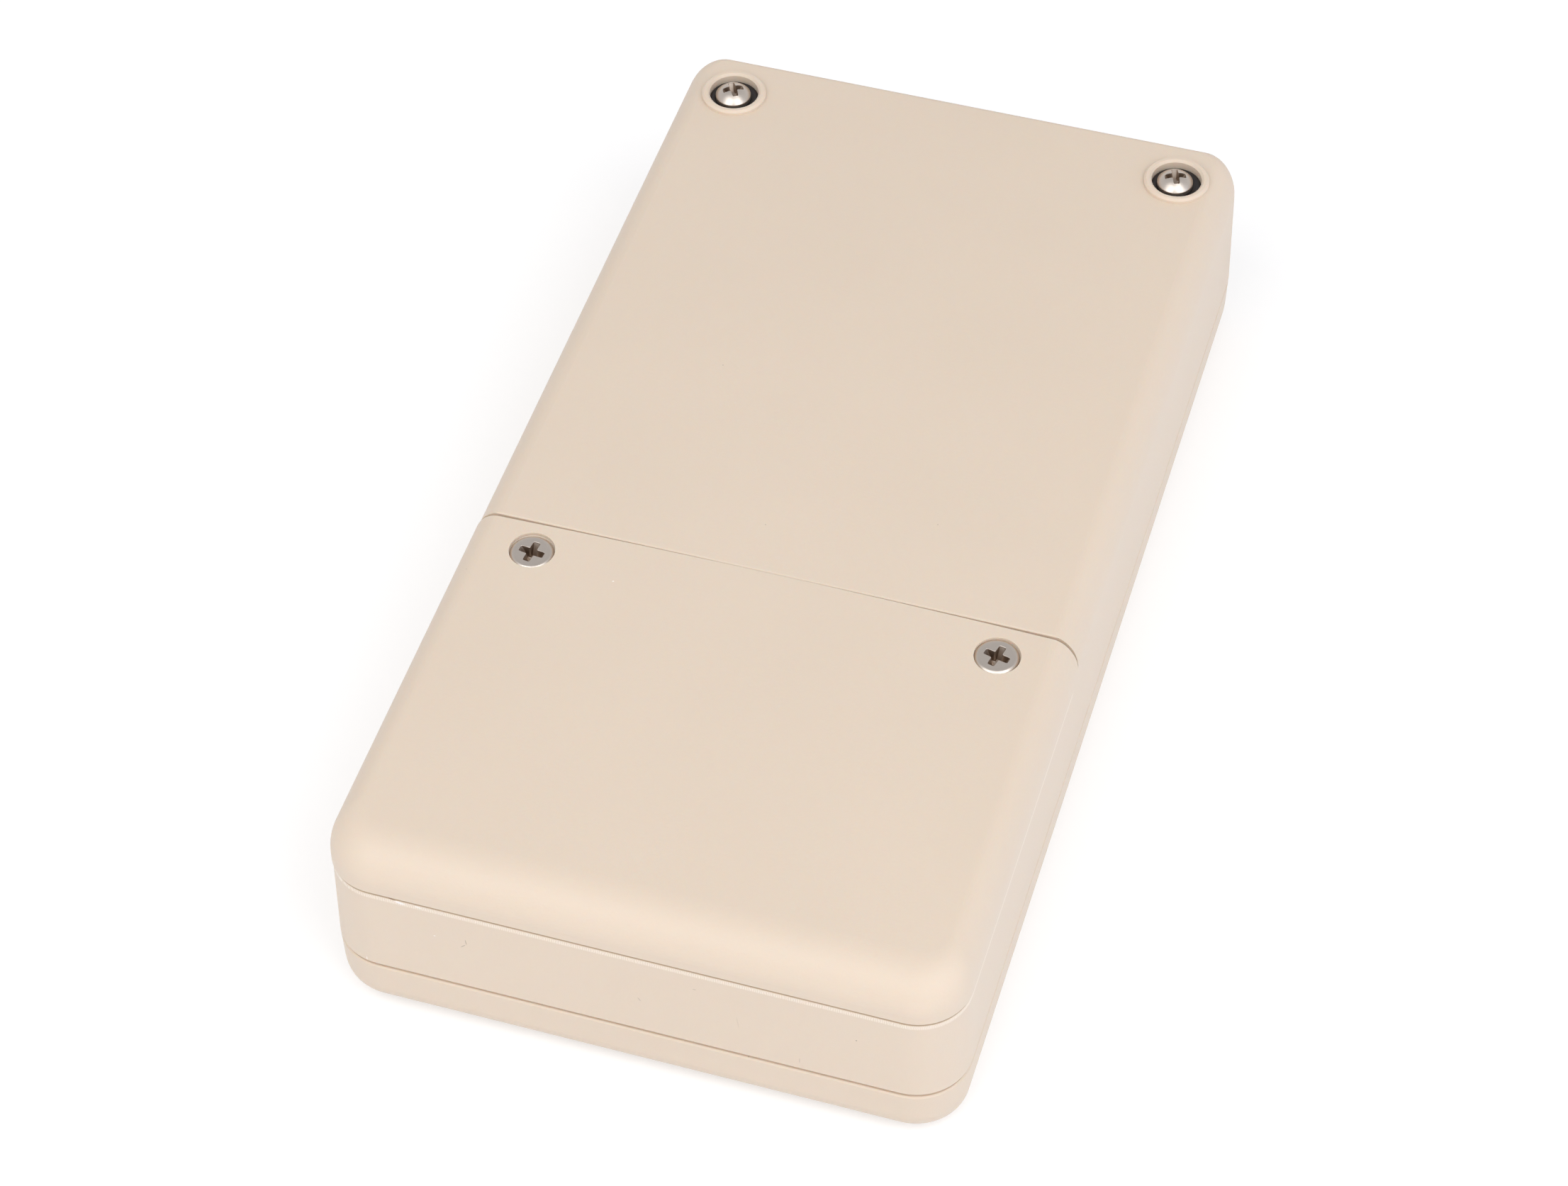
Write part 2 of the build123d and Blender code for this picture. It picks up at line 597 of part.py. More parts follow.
# Case screws, each on a sealing washer in its well and threaded into an insert
for place, (x, y, top, length) in SCREW_PLACES.items():
    well_floor = top - WELL_DEPTH
    seat = well_floor + WASHER_THICKNESS
    save(pan_screw(x, y, seat, length, RECESS_TURN[place]), f"{place}_case_screw")
    with BuildPart() as washer:
        well_x = x + WELL_SHIFT[place]
        cylinder(well_x, y, well_floor, seat, WELL_RADIUS - WASHER_CLEARANCE)
        bore = CASE_SCREW_RADIUS + WASHER_BORE_CLEARANCE
        cylinder(well_x, y, well_floor, seat, bore, Mode.SUBTRACT)
    save(washer, f"{place}_seal_washer")
    insert = threaded_insert(
        x, y, CASE_INSERT_TOP, CASE_INSERT_CORNER_RADIUS, CASE_INSERT_LENGTH, CASE_SCREW_RADIUS
    )
    save(insert, f"{place}_case_insert")

# Door screws and the inserts that they turn into
for side, sign in SIDES.items():
    x = sign * DOOR_SCREW_X
    head_top = HEIGHT - FLAT_HEAD_SINK
    turn = DOOR_RECESS_TURN[side]
    save(flat_screw(x, DOOR_SCREW_Y, head_top, DOOR_SCREW_LENGTH, turn), f"{side}_door_screw")
    insert = threaded_insert(
        x,
        DOOR_SCREW_Y,
        INNER_BOSS_TOP,
        DOOR_INSERT_CORNER_RADIUS,
        DOOR_INSERT_LENGTH,
        DOOR_SCREW_RADIUS,
    )
    save(insert, f"{side}_door_insert")

# Battery contacts, which join the cells in series
for name, (sign, cells) in CONTACTS.items():
    save(battery_contact(sign, cells), name)
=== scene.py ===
"""Dresses the handheld instrument enclosure: finishes, screws, seals, studio and camera.

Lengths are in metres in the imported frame. Sizes that are easier to read in millimetres are
written as a number times MM.
"""

import json
import logging
from dataclasses import dataclass, field
from enum import Enum
from math import ceil, cos, pi, radians, sin, sqrt
from typing import Any, Sequence

import bmesh
import bpy
from mathutils import Matrix, Vector

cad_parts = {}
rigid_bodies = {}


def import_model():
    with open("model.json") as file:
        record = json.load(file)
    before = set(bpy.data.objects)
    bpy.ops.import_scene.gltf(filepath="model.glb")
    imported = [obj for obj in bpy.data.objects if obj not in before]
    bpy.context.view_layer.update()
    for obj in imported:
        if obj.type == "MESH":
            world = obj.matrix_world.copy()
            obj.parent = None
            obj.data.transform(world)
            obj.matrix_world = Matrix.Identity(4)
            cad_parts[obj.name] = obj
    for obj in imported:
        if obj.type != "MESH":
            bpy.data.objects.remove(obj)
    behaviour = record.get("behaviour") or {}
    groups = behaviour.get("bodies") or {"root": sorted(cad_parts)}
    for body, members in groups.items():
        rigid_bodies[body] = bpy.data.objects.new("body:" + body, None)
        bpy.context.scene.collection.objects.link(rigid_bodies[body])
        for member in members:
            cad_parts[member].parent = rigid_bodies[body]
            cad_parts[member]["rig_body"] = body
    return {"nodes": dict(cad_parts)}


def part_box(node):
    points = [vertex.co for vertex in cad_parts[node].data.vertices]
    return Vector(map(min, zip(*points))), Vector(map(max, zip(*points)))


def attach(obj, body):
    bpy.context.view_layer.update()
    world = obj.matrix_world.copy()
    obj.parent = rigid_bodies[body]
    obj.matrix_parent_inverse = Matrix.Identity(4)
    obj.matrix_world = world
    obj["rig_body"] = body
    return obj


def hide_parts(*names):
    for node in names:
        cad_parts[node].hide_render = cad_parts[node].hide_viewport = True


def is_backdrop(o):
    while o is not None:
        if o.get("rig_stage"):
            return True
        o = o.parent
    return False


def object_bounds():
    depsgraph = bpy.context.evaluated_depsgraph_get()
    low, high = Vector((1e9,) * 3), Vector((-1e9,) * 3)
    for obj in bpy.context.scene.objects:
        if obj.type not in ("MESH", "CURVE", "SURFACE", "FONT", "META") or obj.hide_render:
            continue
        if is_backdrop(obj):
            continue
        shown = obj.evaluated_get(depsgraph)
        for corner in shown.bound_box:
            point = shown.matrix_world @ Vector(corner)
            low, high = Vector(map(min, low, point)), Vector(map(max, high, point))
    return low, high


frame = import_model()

LOG = logging.getLogger("enclosure")
MM = 0.001

# The photo's width and focal length in pixels, and the width of the camera's sensor
PHOTO_WIDTH = 2212
PHOTO_FOCAL = 5488.0
SENSOR_WIDTH = 36.0


def linear(colour: str) -> tuple[float, float, float, float]:
    """Turns an sRGB hex colour into linear red, green, blue and alpha.

    Args:
        colour: Six hex digits, such as "e6d6c4".

    Returns:
        The linear colour with an alpha of 1.
    """
    levels = [int(colour[place:place + 2], 16) / 255 for place in (0, 2, 4)]
    red, green, blue = (
        level / 12.92 if level <= 0.04045 else ((level + 0.055) / 1.055) ** 2.4 for level in levels
    )
    return red, green, blue, 1.0


def add_node(
    tree: bpy.types.NodeTree,
    kind: str,
    inputs: dict[str | int, Any] | None = None,
    **settings: Any,
) -> bpy.types.Node:
    """Adds a shader node with its settings, input values and links.

    Args:
        tree: The tree that gets the node.
        kind: The node's type name without the word ShaderNode.
        inputs: A value, or an output socket to link, for each input by name or number.
        **settings: Properties of the node itself.

    Returns:
        The new node.
    """
    node = tree.nodes.new(f"ShaderNode{kind}")
    for name, value in settings.items():
        setattr(node, name, value)
    for name, value in (inputs or {}).items():
        if isinstance(value, bpy.types.NodeSocket):
            tree.links.new(value, node.inputs[name])
        else:
            node.inputs[name].default_value = value
    return node


def new_tree(name: str) -> tuple[bpy.types.Material, bpy.types.NodeTree]:
    """Makes a material whose tree has no nodes yet.

    Args:
        name: The material's name.

    Returns:
        The material and its tree.
    """
    material = bpy.data.materials.new(name)
    material.use_nodes = True
    material.node_tree.nodes.clear()
    return material, material.node_tree


def finish_tree(tree: bpy.types.NodeTree, shader: bpy.types.NodeSocket) -> None:
    """Links a shader to the material's output."""
    add_node(tree, "OutputMaterial", {"Surface": shader})


@dataclass(frozen=True)
class Mark:
    """A small mark on the plastic, such as a nick, a hair, a speck of dirt or a painted shadow.

    Its place and half sizes are in millimetres, and its turn is about Y, in degrees.
    """

    at: tuple[float, float, float]
    half: tuple[float, float, float]
    colour: str
    strength: float = 0.7
    turn: float = 0.0
    core: float = 0.6

    def blend_into(
        self, tree: bpy.types.NodeTree, place: bpy.types.NodeSocket, colour: bpy.types.NodeSocket
    ) -> bpy.types.NodeSocket:
        """Blends the mark into a colour.

        Args:
            tree: The material's tree.
            place: The place on the object.
            colour: The colour without the mark.

        Returns:
            The colour with the mark.
        """
        local = add_node(
            tree,
            "Mapping",
            {
                "Vector": place,
                "Location": Vector(self.at) * MM,
                "Rotation": (0, radians(self.turn), 0),
                "Scale": Vector(self.half) * MM,
            },
            vector_type="TEXTURE",
        ).outputs["Vector"]
        reach = add_node(tree, "VectorMath", {0: local}, operation="LENGTH").outputs["Value"]
        share = add_node(
            tree,
            "MapRange",
            {"Value": reach, "From Min": 1.0, "From Max": self.core, "To Max": self.strength},
        ).outputs["Result"]
        return add_node(
            tree, "Mix", {0: share, 6: colour, 7: linear(self.colour)}, data_type="RGBA"
        ).outputs[2]


NEAR_WALL_MARKS = (
    # Nick in the ledge near the left corner, with a painted shadow over it and a scrape beside it.
    Mark((-29.0, -75.2, 23.2), (0.8, 0.6, 0.22), "fdf7f1", 0.9, 8),
    # Painted shadow over the nick.
    Mark((-30.0, -75.2, 23.48), (0.6, 0.6, 0.08), "8f7257", 0.7, 6),
    Mark((-26.7, -75.2, 23.2), (0.55, 0.6, 0.14), "fbf4ed", 0.8, 8),
    # Curved hair.
    Mark((-20.95, -75.3, 18.6), (0.07, 0.5, 0.55), "ab9b8b", 0.72, -8),
    Mark((-21.35, -75.3, 17.75), (0.07, 0.5, 0.55), "ab9b8b", 0.72, 42),
    # Specks and fine scratches.
    Mark((-24.94, -75.3, 18.4), (0.16, 0.5, 0.11), "faf3ec", 0.8),
    Mark((0.75, -75.3, 15.8), (0.07, 0.5, 0.42), "b3a393", 0.65, -35),
    Mark((7.7, -75.3, 20.4), (0.26, 0.5, 0.08), "b3a393", 0.65),
    Mark((13.0, -75.4, 16.0), (0.08, 0.5, 1.3), "cdbdac", 0.45, -8),
    Mark((20.65, -75.4, 11.5), (0.07, 0.5, 0.6), "b9a998", 0.5),
    Mark((27.56, -75.3, 18.2), (0.13, 0.5, 0.11), "8f7f70", 0.7),
    # Flash along the seam between the two halves.
    Mark((-34.3, -75.4, 10.3), (0.07, 0.5, 0.5), "fdf6ee", 0.85),
    Mark((-31.97, -75.4, 9.5), (0.32, 0.7, 0.12), "8c7762", 0.7, 14),
    Mark((-0.12, -75.4, 9.45), (0.16, 0.7, 0.12), "8c7762", 0.7),
    Mark((14.2, -75.4, 9.35), (0.14, 0.7, 0.1), "8c7762", 0.6),
)
FACE_MARKS = (
    # Specks on the rear face.
    Mark((-18.8, -25.13, 30.0), (0.14, 0.14, 0.6), "fdf7f0", 0.8),
    Mark((-37.19, -28.24, 29.3), (0.13, 0.11, 0.9), "b0a090", 0.6),
    Mark((-17.07, 15.01, 30.0), (0.12, 0.1, 0.6), "b0a090", 0.6),
    Mark((-3.35, -10.53, 30.0), (0.12, 0.1, 0.6), "b0a090", 0.55),
    Mark((17.56, -4.33, 30.0), (0.1, 0.12, 0.6), "b0a090", 0.55),
)


@dataclass(frozen=True)
class LedgeLine:
    """A line of colour along the ledge under the battery door, by its drop below the door's foot.

    The colour is full over the core, a share of the half width, and fades out to both edges.
    """

    colour: str
    drop: float
    half: float
    core: float
    strength: float
    ticked: bool


@dataclass(frozen=True)
class MouldedAbs:
    """ABS moulded in a spark-eroded steel tool.

    The tool leaves fine pits, so the light breaks up into a soft grainy sheen with no mirror
    reflection. Real pits are about a tenth of a millimetre wide, and they are drawn coarser so
    that they show. The plastic lets a little light through, so its seams and wells glow warm. The
    ledge under the battery door has a painted pale highlight along its rounded edge, in fine
    ticks, below a painted brown shadow line under the door's edge.
    """

    name: str = "moulded_abs_spark_eroded"
    colour: str = "e4d3c0"
    cloud_colour: str = "e0cfbc"
    # Painted shadow under the door's edge, and a painted highlight in fine ticks on the ledge's rounded
    # edge below it.
    painted_shadow_line: LedgeLine = LedgeLine(
        "ac9071", drop=0.44 * MM, half=0.13 * MM, core=0.5, strength=0.75, ticked=False
    )
    painted_highlight_band: LedgeLine = LedgeLine(
        "f6e9da", drop=0.9 * MM, half=0.42 * MM, core=0.4, strength=1.0, ticked=True
    )
    ledge_rim: float = 3.5 * MM
    seam_fade: tuple[float, float] = (2 * MM, 3 * MM)
    tick_pitch: float = 0.27 * MM
    tick_wobble: float = 9.0
    tick_range: tuple[float, float] = (-0.6, 0.8)
    tick_strength: tuple[float, float] = (0.3, 0.95)
    roughness: float = 0.5
    roughness_spread: float = 0.08
    grain: float = 0.34 * MM
    cloud: float = 24 * MM
    pit_depth: float = 0.026 * MM
    ior: float = 1.53
    glow: float = 0.3
    glow_reach: tuple[float, float, float] = (0.9, 0.5, 0.28)

    def build(self) -> bpy.types.Material:
        """Builds the material.

        Returns:
            The material, ready to give to a piece.
        """
        material, tree = new_tree(self.name)
        place = add_node(tree, "TexCoord").outputs["Object"]
        clouds = add_node(
            tree, "TexNoise", {"Vector": place, "Scale": 1 / self.cloud, "Detail": 2.0}
        ).outputs["Fac"]
        grain = add_node(
            tree, "TexNoise", {"Vector": place, "Scale": 1 / self.grain, "Detail": 3.0}
        ).outputs["Fac"]
        colour = add_node(
            tree,
            "Mix",
            {0: clouds, 6: linear(self.colour), 7: linear(self.cloud_colour)},
            data_type="RGBA",
        ).outputs[2]
        colour = self.mark_ledge(tree, place, colour)
        for mark in NEAR_WALL_MARKS + FACE_MARKS:
            colour = mark.blend_into(tree, place, colour)
        roughness = add_node(
            tree,
            "MapRange",
            {
                "Value": grain,
                "To Min": self.roughness - self.roughness_spread,
                "To Max": self.roughness + self.roughness_spread,
            },
        ).outputs["Result"]
        bump = add_node(
            tree, "Bump", {"Height": grain, "Distance": self.pit_depth, "Strength": 1.0}
        ).outputs["Normal"]
        shader = add_node(
            tree,
            "BsdfPrincipled",
            {
                "Base Color": colour,
                "Roughness": roughness,
                "Normal": bump,
                "IOR": self.ior,
                "Subsurface Weight": self.glow,
                "Subsurface Radius": self.glow_reach,
                "Subsurface Scale": MM,
            },
        )
        finish_tree(tree, shader.outputs[0])
        return material

    def mark_ledge(
        self, tree: bpy.types.NodeTree, place: bpy.types.NodeSocket, colour: bpy.types.NodeSocket
    ) -> bpy.types.NodeSocket:
        """Blends the painted brown shadow line and the painted pale highlight band into the colour,
        along the ledge.

        Args:
            tree: The material's tree.
            place: The place on the object.
            colour: The colour without them.

        Returns:
            The colour with them.
        """
        way = add_node(tree, "SeparateXYZ", {"Vector": place})
        on_ledge = self.ledge_mask(tree, way)
        ticks = self.ledge_ticks(tree, place)
        door_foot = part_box("battery_door")[0][2]
        for line in (self.painted_shadow_line, self.painted_highlight_band):
            offset = add_node(
                tree, "Math", {0: way.outputs["Z"], 1: door_foot - line.drop}, operation="SUBTRACT"
            ).outputs[0]
            away = add_node(tree, "Math", {0: offset}, operation="ABSOLUTE").outputs[0]
            share = add_node(
                tree,
                "MapRange",
                {
                    "Value": away,
                    "From Min": line.half,
                    "From Max": line.half * line.core,
                    "To Max": line.strength,
                },
            ).outputs["Result"]
            for mask in (on_ledge, ticks) if line.ticked else (on_ledge,):
                share = add_node(tree, "Math", {0: share, 1: mask}, operation="MULTIPLY").outputs[0]
            colour = add_node(
                tree, "Mix", {0: share, 6: colour, 7: linear(line.colour)}, data_type="RGBA"
            ).outputs[2]
        return colour

    def ledge_mask(self, tree: bpy.types.NodeTree, way: bpy.types.Node) -> bpy.types.NodeSocket:
        """Masks the ledge's rim: near the door's end of the case, and outside the battery bay.

        Args:
            tree: The material's tree.
            way: The node that gives the place's X, Y and Z.

        Returns:
            The mask, 1 on the rim.
        """
        door_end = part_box("battery_door")[1][1]
        low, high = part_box("rear_shell")
        before_seam = add_node(
            tree,
            "MapRange",
            {
                "Value": way.outputs["Y"],
                "From Min": door_end - self.seam_fade[0],
                "From Max": door_end - self.seam_fade[1],
            },
        ).outputs["Result"]
        across = add_node(tree, "Math", {0: way.outputs["X"]}, operation="ABSOLUTE").outputs[0]
        off_sides = add_node(
            tree, "Math", {0: across, 1: high[0] - self.ledge_rim}, operation="LESS_THAN"
        ).outputs[0]
        off_end = add_node(
            tree,
            "Math",
            {0: way.outputs["Y"], 1: low[1] + self.ledge_rim},
            operation="GREATER_THAN",
        ).outputs[0]
        inside = add_node(tree, "Math", {0: off_sides, 1: off_end}, operation="MULTIPLY").outputs[0]
        return add_node(
            tree, "Math", {0: before_seam, 1: inside}, operation="SUBTRACT", use_clamp=True
        ).outputs[0]

    def ledge_ticks(
        self, tree: bpy.types.NodeTree, place: bpy.types.NodeSocket
    ) -> bpy.types.NodeSocket:
        """Makes nearly regular upright ticks, which run on round the case's corners.

        Args:
            tree: The material's tree.
            place: The place on the object.

        Returns:
            The strength of the ticks.
        """
        drift = add_node(
            tree, "TexNoise", {"Vector": place, "Scale": 0.5 / self.tick_pitch, "Detail": 2.0}
        ).outputs["Fac"]
        wobble = add_node(
            tree, "Math", {0: drift, 1: self.tick_wobble}, operation="MULTIPLY"
        ).outputs[0]
        along = add_node(
            tree, "VectorMath", {0: place, 1: (1, 1, 0)}, operation="DOT_PRODUCT"
        ).outputs["Value"]
        phase = add_node(
            tree,
            "Math",
            {0: along, 1: 2 * pi / self.tick_pitch, 2: wobble},
            operation="MULTIPLY_ADD",
        ).outputs[0]
        ticks = add_node(tree, "Math", {0: phase}, operation="SINE").outputs[0]
        return add_node(
            tree,
            "MapRange",
            {
                "Value": ticks,
                "From Min": self.tick_range[0],
                "From Max": self.tick_range[1],
                "To Min": self.tick_strength[0],
                "To Max": self.tick_strength[1],
            },
        ).outputs["Result"]


@dataclass(frozen=True)
class TumbledNickel:
    """Steel screws plated with nickel and tumbled, which leaves a shine with fine soft marks.

    Real marks are finer, and they are drawn coarser so that they show. Deep in a recess the
    colour is mixed towards brown by ambient occlusion: painted shade.
    """

    name: str = "nickel_plated_steel_tumbled"
    colour: str = "dad0c6"
    painted_shade_colour: str = "84694f"
    painted_shade_reach: float = 1.3 * MM
    roughness: float = 0.36
    roughness_spread: float = 0.06
    dent: float = 0.35 * MM
    dent_depth: float = 0.004 * MM

    def build(self) -> bpy.types.Material:
        """Builds the material.

        Returns:
            The material, ready to give to a piece.
        """
        material, tree = new_tree(self.name)
        place = add_node(tree, "TexCoord").outputs["Object"]
        dents = add_node(
            tree, "TexNoise", {"Vector": place, "Scale": 1 / self.dent, "Detail": 4.0}
        ).outputs["Fac"]
        roughness = add_node(
            tree,
            "MapRange",
            {
                "Value": dents,
                "To Min": self.roughness - self.roughness_spread,
                "To Max": self.roughness + self.roughness_spread,
            },
        ).outputs["Result"]
        bump = add_node(
            tree, "Bump", {"Height": dents, "Distance": self.dent_depth, "Strength": 1.0}
        ).outputs["Normal"]
        # Painted shade: ambient occlusion mixes the colour towards brown where the screw's own recess
        # closes in.
        openness = add_node(
            tree, "AmbientOcclusion", {"Distance": self.painted_shade_reach}, samples=8, only_local=True
        ).outputs["AO"]
        colour = add_node(
            tree,
            "Mix",
            {0: openness, 6: linear(self.painted_shade_colour), 7: linear(self.colour)},
            data_type="RGBA",
        ).outputs[2]
        shader = add_node(
            tree,
            "BsdfPrincipled",
            {
                "Base Color": colour,
                "Metallic": 1.0,
                "Roughness": roughness,
                "Normal": bump,
            },
        )
        finish_tree(tree, shader.outputs[0])
        return material


@dataclass(frozen=True)
class MouldedRubber:
    """EPDM rubber moulded in a smooth tool: black, with a soft gloss and faint ripples."""

    name: str = "epdm_rubber_moulded"
    colour: str = "1d1a1b"
    bloom_colour: str = "2b2728"
    roughness: float = 0.42
    ripple: float = 0.8 * MM
    ripple_depth: float = 0.02 * MM
    ior: float = 1.5

    def build(self) -> bpy.types.Material:
        """Builds the material.

        Returns:
            The material, ready to give to a piece.
        """
        material, tree = new_tree(self.name)
        place = add_node(tree, "TexCoord").outputs["Object"]
        ripple = add_node(
            tree, "TexNoise", {"Vector": place, "Scale": 1 / self.ripple, "Detail": 3.0}
        ).outputs["Fac"]
        colour = add_node(
            tree,
            "Mix",
            {0: ripple, 6: linear(self.colour), 7: linear(self.bloom_colour)},
            data_type="RGBA",
        ).outputs[2]
        bump = add_node(
            tree, "Bump", {"Height": ripple, "Distance": self.ripple_depth, "Strength": 1.0}
        ).outputs["Normal"]
        shader = add_node(
            tree,
            "BsdfPrincipled",
            {"Base Color": colour, "Roughness": self.roughness, "Normal": bump, "IOR": self.ior},
        )
        finish_tree(tree, shader.outputs[0])
        return material


@dataclass(frozen=True)
class StreakedMetal:
    """Metal whose working leaves fine lines one way, such as turned brass or rolled strip."""

    name: str
    colour: str
    roughness: float
    line: float
    line_axis: int
    roughness_spread: float = 0.1
    line_depth: float = 0.003 * MM
    line_length: float = 6 * MM

    def build(self) -> bpy.types.Material:
        """Builds the material, with its lines square to the line axis.

        Returns:
            The material, ready to give to a piece.
        """
        material, tree = new_tree(self.name)
        place = add_node(tree, "TexCoord").outputs["Object"]
        scale = [1 / self.line_length] * 3
        scale[self.line_axis] = 1 / self.line
        stretched = add_node(
            tree, "VectorMath", {0: place, 1: tuple(scale)}, operation="MULTIPLY"
        ).outputs["Vector"]
        lines = add_node(
            tree, "TexNoise", {"Vector": stretched, "Scale": 1.0, "Detail": 3.0}
        ).outputs["Fac"]
        roughness = add_node(
            tree,
            "MapRange",
            {
                "Value": lines,
                "To Min": self.roughness - self.roughness_spread,
                "To Max": self.roughness + self.roughness_spread,
            },
        ).outputs["Result"]
        bump = add_node(
            tree, "Bump", {"Height": lines, "Distance": self.line_depth, "Strength": 1.0}
        ).outputs["Normal"]
        shader = add_node(
            tree,
            "BsdfPrincipled",
            {
                "Base Color": linear(self.colour),
                "Metallic": 1.0,
                "Roughness": roughness,
                "Normal": bump,
            },
        )
        finish_tree(tree, shader.outputs[0])
        return material


class Finish(Enum):
    """The finishes of the enclosure's pieces, by the record's material slot."""

    SHELL = "abs_shell"
    SCREW = "steel_screw"
    SEAL = "rubber_seal"
    INSERT = "brass_insert"
    CONTACT = "nickel_contact"


@dataclass
class Palette:
    """Builds each finish once and gives it to the pieces."""

    shell: MouldedAbs = field(default_factory=MouldedAbs)
    screw: TumbledNickel = field(default_factory=TumbledNickel)
    seal: MouldedRubber = field(default_factory=MouldedRubber)
    insert: StreakedMetal = field(
        default_factory=lambda: StreakedMetal(
            "free_cutting_brass_turned", "c9a55c", roughness=0.3, line=0.12 * MM, line_axis=2
        )
    )
    contact: StreakedMetal = field(
        default_factory=lambda: StreakedMetal(
            "nickel_plated_strip_rolled", "c4beb4", roughness=0.28, line=0.1 * MM, line_axis=1
        )
    )
    built: dict[Finish, bpy.types.Material] = field(default_factory=dict)

    def build(self) -> None:
        """Builds all finishes."""
        for finish, recipe in (
            (Finish.SHELL, self.shell),
            (Finish.SCREW, self.screw),
            (Finish.SEAL, self.seal),
            (Finish.INSERT, self.insert),
            (Finish.CONTACT, self.contact),
        ):
            self.built[finish] = recipe.build()

    def dress(self, piece: bpy.types.Object, finish: Finish) -> None:
        """Gives a piece its finish.

        Args:
            piece: The piece, whether packed or made here.
            finish: The finish that it takes.
        """
        slots = piece.data.materials
        slots.clear()
        slots.append(self.built[finish])


class Skin:
    """A closed skin built up from rings of points."""

    def __init__(self) -> None:
        """Starts with no rings."""
        self.mesh = bmesh.new()

    def ring(self, points: Sequence[Vector]) -> list[bmesh.types.BMVert]:
        """Adds one ring of points."""
        return [self.mesh.verts.new(point) for point in points]

    def join(
        self, fine: list[bmesh.types.BMVert], coarse: list[bmesh.types.BMVert]
    ) -> list[bmesh.types.BMVert]:
        """Joins two rings with faces.

        Args:
            fine: The first ring.
            coarse: The second ring, with as many points or a whole fraction of them.

        Returns:
            The second ring, ready for the next join.
        """
        step = len(fine) // len(coarse)
        for place, corner in enumerate(coarse):
            side = [fine[(place * step + offset) % len(fine)] for offset in range(step + 1)]
            self.mesh.faces.new([*side, coarse[(place + 1) % len(coarse)], corner])
        return coarse

    def cap(self, ring: list[bmesh.types.BMVert], point: Vector) -> None:
        """Closes a ring with a fan of faces.

        Args:
            ring: The ring to close.
            point: The place of the fan's centre.
        """
        centre = self.mesh.verts.new(point)
        for place, corner in enumerate(ring):
            self.mesh.faces.new([corner, ring[(place + 1) % len(ring)], centre])

    def loop(self, rings: Sequence[Sequence[Vector]]) -> None:
        """Adds rings of points and joins them in a loop, the last one to the first.

        Args:
            rings: The rings in order, all with as many points.
        """
        added = [self.ring(points) for points in rings]
        for first, second in zip(added, added[1:] + added[:1]):
            self.join(first, second)

    def piece(self, name: str, node: str, crease: float) -> bpy.types.Object:
        """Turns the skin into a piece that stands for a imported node.

        Args:
            name: The new piece's name.
            node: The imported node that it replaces.
            crease: The angle in degrees beyond which an edge stays sharp.

        Returns:
            The new piece, riding with the node's body.
        """
        bmesh.ops.recalc_face_normals(self.mesh, faces=self.mesh.faces)
        data = bpy.data.meshes.new(name)
        self.mesh.to_mesh(data)
        self.mesh.free()
        data.shade_smooth()
        data.set_sharp_from_angle(angle=radians(crease))
        made = bpy.data.objects.new(name, data)
        bpy.context.scene.collection.objects.link(made)
        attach(made, frame["nodes"][node]["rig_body"])
        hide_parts(node)
        return made


@dataclass(frozen=True)
class CrossRecess:
    """Cross recess of a screw's head, with arms that narrow and shorten on the way down."""

    span: float
    width: float
    depth: float
    end_taper: float = 0.5
    side_taper: float = 0.22
    end_round: float = 9.0
    corner_round: float = 7.0

    def reach(self, angle: float, share: float) -> float:
        """Gives how far the recess reaches from the screw's axis.

        Args:
            angle: The angle from the first arm, in radians.
            share: The share of the recess's depth, 0 at the top.

        Returns:
            The distance from the axis to the recess's wall.
        """
        half_span = self.span / 2 * (1 - self.end_taper * share)
        half_width = self.width / 2 * (1 - self.side_taper * share)
        along, across = abs(cos(angle)), abs(sin(angle))
        arms = [
            ((end / half_span) ** self.end_round + (side / half_width) ** self.end_round)
            ** (-1 / self.end_round)
            for end, side in ((along, across), (across, along))
        ]
        return sum(arm**self.corner_round for arm in arms) ** (1 / self.corner_round)


@dataclass(frozen=True)
class Thread:
    """Rolled screw thread."""

    radius: float
    pitch: float
    depth_share: float = 0.55
    flat_share: float = 0.15
    steps: int = 6
    points: int = 32

    def height_at(self, turns: float) -> float:
        """Gives the thread's height above its core, from 0 to 1, at a number of turns."""
        saw = 1 - abs(2 * (turns % 1) - 1)
        return min(max((1 + 2 * self.flat_share) * saw - self.flat_share, 0), 1)

    def radius_at(self, angle: float, drop: float, fade: float) -> float:
        """Gives the thread's radius at an angle and a distance below its start."""
        depth = self.depth_share * self.pitch
        return self.radius - depth * (1 - fade * self.height_at(drop / self.pitch - angle / (2 * pi)))


@dataclass
class Turned:
    """A round piece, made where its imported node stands."""

    node: str

    def __post_init__(self) -> None:
        """Takes the piece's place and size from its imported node."""
        low, high = (Vector(corner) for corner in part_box(self.node))
        self.axis = (low + high) / 2
        self.top, self.bottom = high.z, low.z
        self.radius = (high.x - low.x) / 2

    def angles(self, count: int) -> list[float]:
        """Gives evenly spaced angles."""
        return [2 * pi * place / count for place in range(count)]

    def at(self, angle: float, reach: float, height: float) -> Vector:
        """Gives a point at an angle, a distance from the axis and a height."""
        return Vector((self.axis.x + reach * cos(angle), self.axis.y + reach * sin(angle), height))

    def complete(
        self, skin: Skin, kind: str, crease: float, finish: Finish, palette: Palette
    ) -> bpy.types.Object:
        """Turns a skin into the piece and dresses it.

        Args:
            skin: The piece's skin.
            kind: The word that its name ends with.
            crease: The angle in degrees beyond which an edge stays sharp.
            finish: The finish that it takes.
            palette: The finishes.

        Returns:
            The piece.
        """
        made = skin.piece(f"{self.node}_{kind}", self.node, crease)
        palette.dress(made, finish)
        LOG.info("%s: %d faces", made.name, len(made.data.polygons))
        return made


